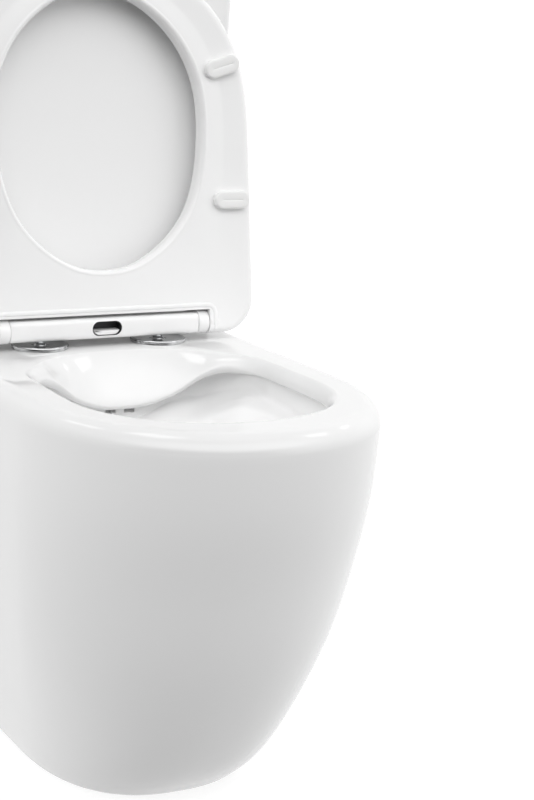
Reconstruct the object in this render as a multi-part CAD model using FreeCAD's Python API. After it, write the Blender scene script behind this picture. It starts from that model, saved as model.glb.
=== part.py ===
import FreeCAD, Part
import math, os
from FreeCAD import Vector as V

os.makedirs("parts", exist_ok=True)

# ---------------------------------------------------------------- dimensions
# Frame: +Z up, user side faces -Y, X across. Origin on the floor under the
# middle of the 665 mm deep footprint. Millimetres.
DEPTH = 665.0                 # front of the pan to the wall plane
YR = DEPTH / 2                # wall plane
YH, ZH = 94.5, 450.0          # hinge axis of seat and cover
ZD = 429.0                    # top of the pan's deck and rim
WALL = 11.0                   # fired ceramic wall
DECK_T = 22.0                 # deck and rim thickness
# outside of the pan: height, half width, front reach from the hinge axis,
# start of the front curve, exponent of the curve
PAN = [(0, 116.0, 227.3, 55.3, 2.495), (26.6, 124.9, 262.2, 76.0, 2.422),
       (63.7, 134.4, 297.7, 102.6, 2.33), (116.9, 147.9, 333.2, 135.7, 2.22),
       (191.2, 165.1, 370.5, 172.3, 2.109), (265.6, 176.4, 394.7, 197.5, 2.047),
       (340.0, 181.8, 416.6, 211.4, 2.034), (409.0, 182.2, 427.0, 214.0, 2.06),
       (429.0, 182.2, 427.0, 214.0, 2.06)]
RIM_R = 20.0                  # rounding of the outer top edge
# trap and outlet
TRAP_RI, TRAP_RO, TRAP_BEND = 32.0, 43.0, 60.0
OUT_Z, OUT_RO, OUT_RI, OUT_END = 185.0, 51.0, 41.0, 300.0
# cistern
CIS_Y = 254.0                 # centre line of the flush valve and buttons
CIS_Z0, CIS_Z1 = 435.0, 805.0
CIS_W0, CIS_W1 = 176.0, 188.5
CIS_F0, CIS_F1, CIS_B = 181.0, 178.0, 330.0
LID_Z1 = 836.0
BOLT_X = 75.0                 # cistern bolts, half pitch
FILL_X = -128.0               # fill valve
# seat and cover, closed-pose heights above the hinge axis
LEAN = 7.5                    # raised seat leans back past upright
SEAT_W, SEAT_L = 178.5, 414.0
SEAT_B, SEAT_T = -13.0, 6.0
COV_B, COV_T = 8.5, 24.0
NOTCH_X, NOTCH_H = 125.0, 14.0
BAR_R, BAR_X = 13.0, 110.7
KNUCKLE = (111.1, 122.0)
PIN_R = 4.0
POST_X, POST_Y = 70.0, YH + 9.0   # fixing studs, just behind the hinge axis
ROSE_R, ROSE_T = 31.0, 5.0
BUMPER = (43.0, 20.0, 7.5)
# fixings
BRK_Y, BRK_Z = 205.0, 32.0


# ---------------------------------------------------------------- helpers
def box(x0, x1, y0, y1, z0, z1):
    return Part.makeBox(x1 - x0, y1 - y0, z1 - z0, V(x0, y0, z0))


def cyl(r, x, y, z0, z1):
    return Part.makeCylinder(r, z1 - z0, V(x, y, z0))


def tube(ro, ri, x, y, z0, z1):
    return cyl(ro, x, y, z0, z1).cut(cyl(ri, x, y, z0 - 1, z1 + 1))


def xcyl(r, x0, x1, y, z):
    return Part.makeCylinder(r, x1 - x0, V(x0, y, z), V(1, 0, 0))


def hexa(af, x, y, z0, z1):
    pts = [V(x + af / math.sqrt(3) * math.cos(math.radians(60 * i)),
             y + af / math.sqrt(3) * math.sin(math.radians(60 * i)), z0) for i in range(6)]
    return Part.Face(Part.makePolygon(pts + [pts[0]])).extrude(V(0, 0, z1 - z0))


def group(solids):
    return Part.makeCompound(solids)


def mirror(s):
    return s.mirror(V(0, 0, 0), V(1, 0, 0))


def spline(pts, t0=None, t1=None, closed=False):
    c = Part.BSplineCurve()
    if closed:
        c.interpolate(Points=pts, PeriodicFlag=True)
    elif t0 is None:
        c.interpolate(Points=pts)
    else:
        c.interpolate(Points=pts, InitialTangent=t0, FinalTangent=t1)
    return c.toShape()


def line(a, b):
    return Part.LineSegment(a, b).toShape()


def spow(v, e):
    return math.copysign(abs(v) ** e, v)


def pan_wire(z, w, l, yc, n, yr, inset=0.0):
    w, l = w - inset, l - inset
    pts = []
    for i in range(25):
        t = math.pi * i / 24
        c, s = math.cos(t), math.sin(t)
        if i == 12:
            c = 0.0
        if i in (0, 24):
            s = 0.0
        pts.append(V(w * spow(c, 2 / n), YH - yc - (l - yc) * spow(s, 2 / n), z))
    f = spline(pts, V(0, -1, 0), V(0, 1, 0))
    a, b = V(-w, YH - yc, z), V(w, YH - yc, z)
    c, d = V(-w, yr, z), V(w, yr, z)
    return Part.Wire([f, line(a, c), line(c, d), line(d, b)])


def loop(z, w, yf, yb, n):
    # closed rounded loop from yf (front) to yb (back), hinge-relative
    cy, b = YH + (yf + yb) / 2, (yb - yf) / 2
    pts = []
    for i in range(28):
        t = 2 * math.pi * i / 28
        pts.append(V(w * spow(round(math.cos(t), 12), 2 / n), cy - b * spow(round(math.sin(t), 12), 2 / n), z))
    return Part.Wire([spline(pts, closed=True)])


def prism(w, h):
    return Part.Face(w).extrude(V(0, 0, h))


def rrect(x, y0, y1, r, z):
    p = [V(-x + r, y0, z), V(x - r, y0, z), V(x, y0 + r, z), V(x, y1 - r, z),
         V(x - r, y1, z), V(-x + r, y1, z), V(-x, y1 - r, z), V(-x, y0 + r, z)]
    k = r * (1 - math.sqrt(0.5))
    m = [V(x - k, y0 + k, z), V(x - k, y1 - k, z), V(-x + k, y1 - k, z), V(-x + k, y0 + k, z)]
    e = []
    for i in range(4):
        e.append(line(p[2 * i], p[2 * i + 1]))
        e.append(Part.Arc(p[2 * i + 1], m[i], p[(2 * i + 2) % 8]).toShape())
    return Part.Wire(e)


def lofted(ws, ruled=False):
    return Part.makeLoft(ws, True, ruled)


def bent_path(pts, r):
    # straight runs joined by tangent arcs
    e, cur = [], pts[0]
    for i in range(1, len(pts) - 1):
        a = (pts[i - 1] - pts[i]).normalize()
        b = (pts[i + 1] - pts[i]).normalize()
        half = a.getAngle(b) / 2
        d = r / math.tan(half)
        p, q = pts[i] + a * d, pts[i] + b * d
        bis = (a + b).normalize()
        m = pts[i] + bis * (r / math.sin(half) - r)
        e += [line(cur, p), Part.Arc(p, m, q).toShape()]
        cur = q
    e.append(line(cur, pts[-1]))
    return Part.Wire(e)


def sweep(path, p, d, r):
    prof = Part.Wire([Part.makeCircle(r, p, d)])
    return path.makePipeShell([prof], True, True)


def raise_up(s):
    # from the closed pose, drawn about the axis, to the raised pose
    s = s.copy()
    s.rotate(V(0, 0, 0), V(1, 0, 0), -(90 + LEAN))
    s.translate(V(0, YH, ZH))
    return s


def one(s):
    s = s.removeSplitter() if s.ShapeType != "Compound" or len(s.Solids) > 1 else s
    return s.Solids[0] if len(s.Solids) == 1 else s


def save(name, s):
    n = len(s.Solids)
    print("%-24s solids %d valid %s vol %.0f" % (name, n, s.isValid(), s.Volume))
    s.exportStep("parts/%s.step" % name)


# ---------------------------------------------------------------- pan
body = lofted([pan_wire(*(p + (YR,))) for p in PAN[:-1]])
# rounded outer edge of the rim and deck
crown = []
for dz in (0.0, 5.0, 10.0, 14.0, 17.0, 19.0, 19.8, 20.0):
    w, l, yc, n = PAN[-2][1:]
    crown.append(pan_wire(ZD - RIM_R + dz, w, l, yc, n, YR, RIM_R - math.sqrt(max(RIM_R ** 2 - dz ** 2, 0.0))))
outer = body.fuse(lofted(crown))
outer = outer.Solids[0]

cav = []
for (z, w, l, yc, n) in PAN[:-1]:
    cav.append((z, w, l, yc, n))
cav[0] = (-1.0,) + cav[0][1:]
cav[-1] = (ZD - DECK_T,) + cav[-1][1:]
cavity = lofted([pan_wire(*(p + (YR + 1.0, WALL))) for p in cav])
shell = outer.cut(cavity)

# plan of the bowl's opening and of the recess below the rim, half, from the
# rear middle to the front middle, Y from the hinge axis
def nose(a, cy, b, n):
    h = []
    for i in range(10):
        t = math.pi / 2 * i / 9
        h.append((a * round(math.cos(t), 12) ** (2 / n), cy - b * round(math.sin(t), 12) ** (2 / n)))
    return h


FACE = [(0, -62.5), (12, -62.8), (25, -63.6), (37, -65.2), (49, -67.6), (60, -70.6), (70, -74.2), (80, -78.2),
        (88, -82), (97, -87), (105, -92.5), (112, -98.5), (118, -105.5), (123, -114.5), (126.2, -125.5),
        (127.5, -140), (127.5, -165), (127.5, -200)] + nose(127.5, -230, 131, 2.15)
REC = [(0, -54), (25, -54.5), (49, -56.5), (70, -60), (88, -64), (104, -70), (117, -77), (128, -86), (137, -98),
       (142, -112), (144, -130), (144, -165), (144, -200)] + nose(144, -230, 147, 2.15)


def half_loop(z, half, grow=0.0):
    full = half + [(-x, y) for x, y in reversed(half[1:-1])]
    n, pts = len(full), []
    for i, (x, y) in enumerate(full):
        (x0, y0), (x1, y1) = full[i - 1], full[(i + 1) % n]
        d = math.hypot(x1 - x0, y1 - y0)
        pts.append(V(x - grow * (y1 - y0) / d, YH + y + grow * (x1 - x0) / d, z))
    return Part.Wire([spline(pts, closed=True)])


def yz(y, z):
    return V(0, YH + y, z)


# the pan is cast in pieces that are stuck together before firing
FULL = box(-400, 400, -500, 500, ZD - DECK_T, ZD + 10)
FRONT = box(-400, 400, -500, YH - 40, ZD - DECK_T, ZD + 10)
skirt = one(shell.cut(FULL))
top = outer.common(FULL)
rim, deck = top.common(FRONT), top.cut(FRONT)
rim = rim.cut(prism(half_loop(ZD - DECK_T - 1, FACE), DECK_T + 2))
# apron that hangs from the rear of the opening over the flush outlets
drop = [(0, 58.7), (12, 58.5), (22, 57.5), (32, 55.5), (44, 51.5), (54, 47), (63, 42), (70, 36.5), (77, 31), (84, 27),
        (91, 23.7), (95.5, DECK_T)]
low = [V(-x, YH - 110, ZD - k) for x, k in reversed(drop[1:])] + [V(x, YH - 110, ZD - k) for x, k in drop]
hang = Part.Face(Part.Wire([spline(low), line(low[-1], low[0])])).extrude(V(0, 70, 0))
band = prism(half_loop(ZD - 62, REC), 62 - DECK_T).cut(prism(half_loop(ZD - 63, FACE), 64 - DECK_T))
apron = hang.common(band)
rim = rim.fuse(apron)

# bowl: half width, front, back (from the hinge axis) at each height
BOWL = [(ZD - 42, 139.5, -372, -56, 2.6), (ZD - 52, 128, -360, -59, 2.5),
        (ZD - 115, 106, -328, -92, 2.3), (ZD - 190, 76, -280, -104, 2.15),
        (ZD - 250, 54, -236, -110, 2.05), (ZD - 300, 42, -205, -114, 2.0)]
bowl_in = lofted([loop(*b) for b in BOWL])
bowl_out = lofted([loop(z, w + WALL, f - WALL, b + WALL, n) for z, w, f, b, n in
                   [(ZD - DECK_T, 140, -372, -54, 2.6)] + BOWL[:-1] + [(ZD - 300 - WALL, 44, -207, -112, 2.0)]])
bowl_out = bowl_out.fuse(prism(half_loop(ZD - 53, REC, WALL), 53 - DECK_T))
recess = prism(half_loop(ZD - 42.01, REC), 42.01)
tp = [yz(-172, 156), yz(-75, 129), yz(25, 272), yz(98, OUT_Z), yz(140, OUT_Z)]
path = bent_path(tp, TRAP_BEND)
d0 = tp[1] - tp[0]
trap_out = sweep(path, tp[0], d0, TRAP_RO)
trap_in = sweep(path, tp[0], d0, TRAP_RI)
spigot_out = Part.makeCylinder(OUT_RO, OUT_END - (YH + 118), V(0, YH + 118, OUT_Z), V(0, 1, 0))
spigot_in = Part.makeCylinder(OUT_RI, OUT_END - (YH + 132) + 1, V(0, YH + 132, OUT_Z), V(0, 1, 0))
trap = trap_out.fuse(spigot_out).cut(bowl_out).cut(trap_in).cut(spigot_in)
trap = max(trap.Solids, key=lambda q: q.Volume)
bowl = bowl_out.cut(bowl_in).cut(recess).cut(apron).cut(trap_in)
# flush duct under the deck, open at the top
duct = box(-54, 54, YH - 60, YH + 214, ZD - 79, ZD - DECK_T).cut(box(-45, 45, YH - 38, YH + 204, ZD - 70, ZD))
duct = duct.cut(bowl_out)
# two flush outlets under the apron
for s in (-1, 1):
    slot = box(min(s * 6, s * 18), max(s * 6, s * 18), YH - 80, YH - 30, ZD - 67, ZD - 59.5)
    bowl, duct = bowl.cut(slot), duct.cut(slot)
# the duct is a trough that is closed in front by a wall with the outlets
ahead = box(-60, 60, YH - 100, YH - 38, ZD - 100, ZD)
outlet_wall, duct = duct.common(ahead), duct.cut(ahead)
# water inlet with its seat for the coupling washer, bolt, seat and tail holes
deck = deck.cut(cyl(52, 0, CIS_Y, ZD - 14, ZD + 1)).cut(cyl(37, 0, CIS_Y, ZD - 30, ZD + 1))
for x in (-BOLT_X, BOLT_X):
    deck = deck.cut(cyl(7, x, CIS_Y, ZD - 30, ZD + 1))
for x in (-POST_X, POST_X):
    deck = deck.cut(cyl(8, x, POST_Y, ZD - 30, ZD + 1))
deck = deck.cut(cyl(22, FILL_X, CIS_Y, ZD - 30, ZD + 1))
# side fixing holes with flat counterbores
SIDE_SEAT = 121.0
for s in (-1, 1):
    skirt = skirt.cut(xcyl(4.5, min(s * 100, s * 150), max(s * 100, s * 150), BRK_Y, BRK_Z))
    skirt = skirt.cut(xcyl(9.0, min(s * SIDE_SEAT, s * 160), max(s * SIDE_SEAT, s * 160), BRK_Y, BRK_Z))
save("pan_skirt", one(skirt))
save("pan_rim", one(rim))
save("pan_deck", one(deck))
save("pan_bowl", one(bowl))
save("pan_trap", one(trap))
save("pan_flush_duct", one(duct))
save("pan_flush_outlet_wall", one(outlet_wall))

# ---------------------------------------------------------------- cistern
cis = lofted([rrect(CIS_W0, CIS_F0, CIS_B, 10, CIS_Z0), rrect(CIS_W1, CIS_F1, CIS_B, 10, CIS_Z1)], True)
ci = 10.0
cis = cis.cut(lofted([rrect(CIS_W0 + 0.4 - ci, CIS_F0 + ci, CIS_B - ci, 6, CIS_Z0 + 12),
                      rrect(CIS_W1 - ci, CIS_F1 + ci, CIS_B - ci, 6, CIS_Z1 + 0.5)], True))
cis = cis.cut(cyl(32.5, 0, CIS_Y, CIS_Z0 - 1, CIS_Z0 + 13))
for x in (-BOLT_X, BOLT_X):
    cis = cis.cut(cyl(6, x, CIS_Y, CIS_Z0 - 1, CIS_Z0 + 13))
cis = cis.cut(cyl(11.5, FILL_X, CIS_Y, CIS_Z0 - 1, CIS_Z0 + 13))
for x in (-120, 120):
    cis = cis.cut(Part.makeCylinder(4.0, 14, V(x, CIS_B - 12, 769), V(0, 1, 0)))
save("cistern", one(cis))

lid = prism(rrect(191.0, 176.5, 332.5, 16, CIS_Z1), LID_Z1 - CIS_Z1)
le = [e for e in lid.Edges if all(abs(v.Z - LID_Z1) < 1e-3 for v in e.Vertexes)]
lid = lid.makeFillet(8.0, le)
lid = lid.cut(prism(rrect(177.0, 190.0, 318.0, 10, CIS_Z1 - 1), 20.0))
lug = prism(rrect(176.5, 190.2, 317.8, 10, CIS_Z1 - 9), 9.5).cut(prism(rrect(169.0, 198.0, 310.0, 8, CIS_Z1 - 10), 12))
lid = lid.fuse(prism(rrect(177.0, 190.0, 318.0, 10, CIS_Z1), 19.0).cut(prism(rrect(169.0, 198.0, 310.0, 8, CIS_Z1 - 1), 22)))
lid = lid.fuse(lug).cut(cyl(23.6, 0, CIS_Y, CIS_Z1, LID_Z1 + 1))
save("cistern_lid", one(lid))

pads = [box(-140, 140, 187, 199, ZD, CIS_Z0), box(-140, 140, 310, 322, ZD, CIS_Z0)]
save("cistern_pads", group(pads))

# coupling between cistern and pan
dough = Part.makeCone(50, 45, 8, V(0, CIS_Y, ZD - 14)).cut(cyl(32.0, 0, CIS_Y, ZD - 15, ZD))
save("coupling_washer", dough)
bolts, cones, plates, wings = [], [], [], []
for x in (-BOLT_X, BOLT_X):
    zf = CIS_Z0 + 12
    bolts.append(cyl(4, x, CIS_Y, 366, zf + 5).fuse(cyl(9, x, CIS_Y, zf + 5, zf + 10)).cut(box(x - 1, x + 1, CIS_Y - 9, CIS_Y + 9, zf + 8, zf + 11)))
    cones.append(tube(15, 4.3, x, CIS_Y, zf, zf + 5))
    plates.append(tube(15, 4.3, x, CIS_Y, ZD - DECK_T - 2.5, ZD - DECK_T))
    z1 = ZD - DECK_T - 2.5
    w = cyl(8, x, CIS_Y, z1 - 12, z1).fuse(box(x - 16, x + 16, CIS_Y - 2, CIS_Y + 2, z1 - 17, z1 - 4))
    wings.append(w.cut(cyl(4.05, x, CIS_Y, z1 - 20, z1 + 1)))
save("coupling_bolts", group(bolts))
save("coupling_cone_washers", group(cones))
save("coupling_plate_washers", group(plates))
save("coupling_wing_nuts", group([one(w) for w in wings]))

# ---------------------------------------------------------------- flush valve
ZF = CIS_Z0 + 12
fv = tube(31.5, 26, 0, CIS_Y, ZD - 21, ZF + 3).fuse(tube(43, 26, 0, CIS_Y, ZF + 3, ZF + 8))
cage = tube(35, 31.5, 0, CIS_Y, ZF + 8, ZF + 52)
for k in range(4):
    wdw = box(-17, 17, 20, 50, ZF + 12, ZF + 46)
    wdw.rotate(V(0, 0, 0), V(0, 0, 1), 45 + 90 * k)
    wdw.translate(V(0, CIS_Y, 0))
    cage = cage.cut(wdw)
save("flush_valve_base", one(fv.fuse(cage)))
# tower that clips on the base, with the head that takes the push rods
tower = tube(35, 14.6, 0, CIS_Y, ZF + 52, ZF + 57).fuse(tube(21, 18, 0, CIS_Y, ZF + 57, 752))
for k in range(2):
    tower = tower.cut(box(-30, 30, CIS_Y - 9, CIS_Y + 9, 524 + 110 * k, 604 + 110 * k))
tower = tower.fuse(cyl(27, 0, CIS_Y, 752, 782))
for x, r in ((-8, 4.2), (11, 4.2)):
    tower = tower.cut(cyl(r, x, CIS_Y, 760, 783))
save("flush_valve_tower", one(tower))
save("flush_valve_washer", tube(43, 31.6, 0, CIS_Y, ZF, ZF + 3))
fbn = hexa(76, 0, CIS_Y, CIS_Z0 - 11, CIS_Z0).common(cyl(41, 0, CIS_Y, CIS_Z0 - 12, CIS_Z0 + 1)).cut(cyl(31.55, 0, CIS_Y, CIS_Z0 - 13, CIS_Z0 + 1))
save("flush_valve_backnut", one(fbn))
lift = tube(14, 11, 0, CIS_Y, ZF + 12.4, 724).fuse(tube(24, 11, 0, CIS_Y, ZF + 12.4, ZF + 17))
save("flush_lift_tube", one(lift))
save("flush_valve_seal", tube(30, 11, 0, CIS_Y, ZF + 8.4, ZF + 12.4))

# ---------------------------------------------------------------- fill valve
ib = cyl(10.45, FILL_X, CIS_Y, 392, 422).fuse(cyl(9.6, FILL_X, CIS_Y, 422, ZF + 3)).fuse(cyl(17, FILL_X, CIS_Y, ZF + 3, ZF + 8))
ib = ib.fuse(cyl(12, FILL_X, CIS_Y, ZF + 8, 726)).fuse(cyl(20, FILL_X, CIS_Y, 572, 577)).fuse(cyl(23, FILL_X, CIS_Y, 726, 762))
ib = ib.cut(cyl(6.5, FILL_X, CIS_Y, 391, 744))
ib = ib.fuse(box(FILL_X + 20, FILL_X + 44, CIS_Y - 7, CIS_Y + 7, 736, 748))
save("fill_valve_body", one(ib))
save("fill_valve_washer", tube(17, 9.7, FILL_X, CIS_Y, ZF, ZF + 3))
save("fill_valve_backnut", one(hexa(32, FILL_X, CIS_Y, CIS_Z0 - 11, CIS_Z0).cut(cyl(9.65, FILL_X, CIS_Y, CIS_Z0 - 12, CIS_Z0 + 1))))
fl = tube(31, 12.6, FILL_X, CIS_Y, 577.5, 637.5).cut(tube(28.5, 15.5, FILL_X, CIS_Y, 576, 634))
save("fill_valve_float", one(fl))

# ---------------------------------------------------------------- flush buttons
bz = tube(29, 20.6, 0, CIS_Y, LID_Z1, LID_Z1 + 3.5).fuse(tube(23, 20.6, 0, CIS_Y, 796, LID_Z1))
save("button_bezel", one(bz))
save("button_nut", one(hexa(60, 0, CIS_Y, 814, 824).common(cyl(33, 0, CIS_Y, 813, 825)).cut(cyl(23.05, 0, CIS_Y, 812, 826))))
disc = cyl(20.2, 0, CIS_Y, 828, LID_Z1 + 4.5)
fb = disc.cut(box(3.7, 30, CIS_Y - 30, CIS_Y + 30, 814, 854))
hb = disc.cut(box(-30, 4.3, CIS_Y - 30, CIS_Y + 30, 814, 854))
save("full_flush_button", one(fb))
save("half_flush_button", one(hb))
save("full_push_rod", cyl(4.0, -8, CIS_Y, 770, 828))
save("half_push_rod", cyl(4.0, 11, CIS_Y, 770, 828))

# ---------------------------------------------------------------- seat and cover
def seat_outline(t, grow=0.0, notch=None):
    # drawn at height t above the axis, front towards -Y
    W, L = SEAT_W + grow, SEAT_L + grow
    half = [(W, 189), (W - 1.4, 234), (W - 4.2, 261), (W - 9.4, 285), (W - 15.9, 304), (W - 24.0, 321),
            (W - 36.0, 339), (W - 52, 356.5 + grow), (W - 78, 378 + grow), (W - 112, 398 + grow), (W - 147, 410.5 + grow)]
    fr = half + [(0, L)] + [(-x, h) for x, h in reversed(half)]
    f = spline([V(x, -h, t) for x, h in fr], V(0, -1, 0), V(0, 1, 0))
    r, hb = 38.0, -13.0
    k = r * (1 - math.sqrt(0.5))
    e = [f, line(V(-W, -189, t), V(-W, -(hb + r), t)),
         Part.Arc(V(-W, -(hb + r), t), V(-W + k, -(hb + k), t), V(-W + r, -hb, t)).toShape()]
    if notch:
        nx, nh = notch
        e += [line(V(-W + r, -hb, t), V(-nx, -hb, t)), line(V(-nx, -hb, t), V(-nx, -nh, t)),
              line(V(-nx, -nh, t), V(nx, -nh, t)), line(V(nx, -nh, t), V(nx, -hb, t)), line(V(nx, -hb, t), V(W - r, -hb, t))]
    else:
        e += [line(V(-W + r, -hb, t), V(W - r, -hb, t))]
    e += [Part.Arc(V(W - r, -hb, t), V(W - k, -(hb + k), t), V(W, -(hb + r), t)).toShape(),
          line(V(W, -(hb + r), t), V(W, -189, t))]
    return Part.Wire(e)


hole_h = [(0, 65), (28, 68.5), (53, 80), (78, 100), (97, 125), (109, 157), (115, 195), (116, 228), (112.5, 258),
          (103.5, 284), (88, 309), (66, 331), (36, 349), (0, 356)]
hole_pts = hole_h + [(-x, h) for x, h in reversed(hole_h[1:-1])]

seat = prism(seat_outline(SEAT_B, 0, (NOTCH_X, NOTCH_H)), SEAT_T - SEAT_B)
hole = prism(Part.Wire([spline([V(x, -h, SEAT_B - 1) for x, h in hole_pts], closed=True)]), SEAT_T - SEAT_B + 2)
seat = seat.cut(hole)
for s in (-1, 1):
    seat = seat.cut(xcyl(PIN_R, min(s * 124, s * 150), max(s * 124, s * 150), 0, 0))
save("seat_ring", raise_up(one(seat)))

cover = prism(seat_outline(COV_B, 0, (BAR_X + 0.4, 17.0)), COV_T - COV_B)
ce = [e for e in cover.Edges if all(abs(v.Z - COV_T) < 1e-3 for v in e.Vertexes) and e.Length > 30
      and not all(abs(v.Y + 17.0) < 1e-3 for v in e.Vertexes)]
dish = prism(seat_outline(COV_B - 1, -8.0), 11.0)
dish = dish.cut(box(-200, 200, -30, 30, COV_B - 2, COV_T))
cover = cover.cut(dish)
for s in (-1, 1):
    k = xcyl(BAR_R, min(s * KNUCKLE[0], s * KNUCKLE[1]), max(s * KNUCKLE[0], s * KNUCKLE[1]), 0, 0)
    k = k.fuse(box(min(s * KNUCKLE[0], s * KNUCKLE[1]), max(s * KNUCKLE[0], s * KNUCKLE[1]), -12, 12, 4, COV_B + 3))
    cover = cover.fuse(k)
for s in (-1, 1):
    cover = cover.cut(xcyl(PIN_R + 0.05, min(s * 110, s * 123), max(s * 110, s * 123), 0, 0))
save("seat_cover", raise_up(one(cover)))


def capsule(cx, ch, ang, l, w, t0, t1):
    r = w / 2
    a = l / 2 - r
    s = box(-a, a, -r, r, t0, t1).fuse([cyl(r, -a, 0, t0, t1), cyl(r, a, 0, t0, t1)]).removeSplitter()
    s.rotate(V(0, 0, 0), V(0, 0, 1), ang)
    s.translate(V(cx, -ch, 0))
    return s.Solids[0]


sb = []
for s in (-1, 1):
    sb.append(capsule(s * 145.3, 279, -s * 9.0, BUMPER[0], BUMPER[1], SEAT_B - BUMPER[2], SEAT_B))
    sb.append(capsule(s * 154.5, 134, 0, BUMPER[0], BUMPER[1], SEAT_B - BUMPER[2], SEAT_B))
save("seat_bumpers", group([raise_up(b) for b in sb]))
cb = []
for s in (-1, 1):
    cb.append(capsule(s * (SEAT_W - 4), 90, 90, 18, 6, SEAT_T + 0.5, COV_B))
    cb.append(capsule(s * 71, 390.5, s * 30, 18, 6, SEAT_T + 0.5, COV_B))
save("cover_bumpers", group([raise_up(b) for b in cb]))

# ---------------------------------------------------------------- hinge
bar = xcyl(BAR_R, -BAR_X, BAR_X, YH, ZH)
for s in (-1, 1):
    bar = bar.cut(xcyl(8.0, min(s * 48, s * 112), max(s * 48, s * 112), YH, ZH))
# finger window on the front, with the release tab in its lower half
def stadium_y(half, r, y0, y1, zc):
    a = half - r
    s = box(-a, a, y0, y1, zc - r, zc + r)
    for x in (-a, a):
        s = s.fuse(Part.makeCylinder(r, y1 - y0, V(x, y0, zc), V(0, 1, 0)))
    return s.removeSplitter()

bar = bar.cut(stadium_y(17.5, 7.9, YH - 14, YH + 3, ZH))
for x in (-POST_X, POST_X):
    bar = bar.cut(cyl(4.0, x, POST_Y, ZH - 14, ZH - 8.0))
save("hinge_bar", one(bar))
tab = stadium_y(15.2, 7.3, YH - 10.5, YH + 2.5, ZH).common(box(-20, 20, YH - 20, YH + 20, ZH - 9, ZH - 1.5))
save("release_tab", one(tab))
damp = []
for s in (-1, 1):
    dm = xcyl(7.9, min(s * 49, s * 110.5), max(s * 49, s * 110.5), YH, ZH)
    damp.append(dm.cut(xcyl(PIN_R + 0.05, min(s * 90, s * 112), max(s * 90, s * 112), YH, ZH)))
save("soft_close_dampers", group(damp))
pins = [xcyl(PIN_R, min(s * 90.6, s * 149.5), max(s * 90.6, s * 149.5), YH, ZH) for s in (-1, 1)]
save("hinge_pins", group(pins))
roses, posts, studs, sw, sn = [], [], [], [], []
for x in (-POST_X, POST_X):
    r = cyl(ROSE_R, x, POST_Y, ZD, ZD + ROSE_T)
    r = r.makeFillet(2.0, [e for e in r.Edges if all(abs(v.Z - ZD - ROSE_T) < 1e-3 for v in e.Vertexes) and e.Length > 50 and abs(e.CenterOfMass.z - ZD - ROSE_T) < 1e-3])
    roses.append(r.cut(cyl(4.05, x, POST_Y, ZD - 1, ZD + 9)))
    posts.append(tube(5.5, 4.05, x, POST_Y, ZD + ROSE_T, ZH - 8.5).cut(xcyl(BAR_R, x - 12, x + 12, YH, ZH)))
    studs.append(cyl(4, x, POST_Y, 364, ZH - 8.0))
    z1 = ZD - DECK_T
    sw.append(tube(13, 4.2, x, POST_Y, z1 - 3, z1))
    w = cyl(9, x, POST_Y, z1 - 17, z1 - 3).fuse(box(x - 2, x + 2, POST_Y - 18, POST_Y + 18, z1 - 23, z1 - 8))
    sn.append(one(w.cut(cyl(4.05, x, POST_Y, z1 - 30, z1))))
save("hinge_rosettes", group(roses))
save("hinge_posts", group(posts))
save("seat_fixing_studs", group(studs))
save("seat_fixing_washers", group(sw))
save("seat_fixing_nuts", group(sn))

# ---------------------------------------------------------------- floor fixing
brk, scr, cap = [], [], []
for s in (-1, 1):
    b = box(55, 103, BRK_Y - 18, BRK_Y + 18, 0, 5).fuse(box(97, 103, BRK_Y - 18, BRK_Y + 18, 0, 54))
    b = b.fuse(box(85, 97, BRK_Y - 10, BRK_Y + 10, BRK_Z - 10, BRK_Z + 10))
    b = b.cut(cyl(4.5, 72, BRK_Y, -1, 6)).cut(xcyl(3.05, 84, 104, BRK_Y, BRK_Z))
    sc = xcyl(3.0, 86, SIDE_SEAT, BRK_Y, BRK_Z).fuse(xcyl(6.5, SIDE_SEAT, SIDE_SEAT + 3, BRK_Y, BRK_Z))
    cp = xcyl(8.8, SIDE_SEAT, SIDE_SEAT + 6.5, BRK_Y, BRK_Z).cut(xcyl(6.6, SIDE_SEAT - 1, SIDE_SEAT + 3, BRK_Y, BRK_Z))
    b, sc, cp = one(b), one(sc), one(cp)
    if s < 0:
        b, sc, cp = mirror(b), mirror(sc), mirror(cp)
    brk.append(b); scr.append(sc); cap.append(cp)
save("floor_brackets", group(brk))
save("bracket_side_screws", group(scr))
save("side_screw_caps", group(cap))
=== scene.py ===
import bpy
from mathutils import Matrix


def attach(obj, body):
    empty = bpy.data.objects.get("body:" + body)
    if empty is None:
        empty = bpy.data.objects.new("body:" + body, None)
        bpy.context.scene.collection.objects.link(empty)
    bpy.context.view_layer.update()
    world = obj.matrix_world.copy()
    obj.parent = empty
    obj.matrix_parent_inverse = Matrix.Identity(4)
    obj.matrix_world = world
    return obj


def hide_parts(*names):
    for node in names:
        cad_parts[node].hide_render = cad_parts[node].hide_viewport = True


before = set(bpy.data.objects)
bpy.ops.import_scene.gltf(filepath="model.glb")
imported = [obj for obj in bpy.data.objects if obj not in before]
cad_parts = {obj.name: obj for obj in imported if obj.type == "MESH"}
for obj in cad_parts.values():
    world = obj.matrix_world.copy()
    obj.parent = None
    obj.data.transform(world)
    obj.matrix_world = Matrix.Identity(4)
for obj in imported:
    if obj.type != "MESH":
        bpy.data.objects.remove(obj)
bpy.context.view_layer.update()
import math

import bmesh
import bpy
import numpy as np
from mathutils import Matrix, Vector

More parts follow.
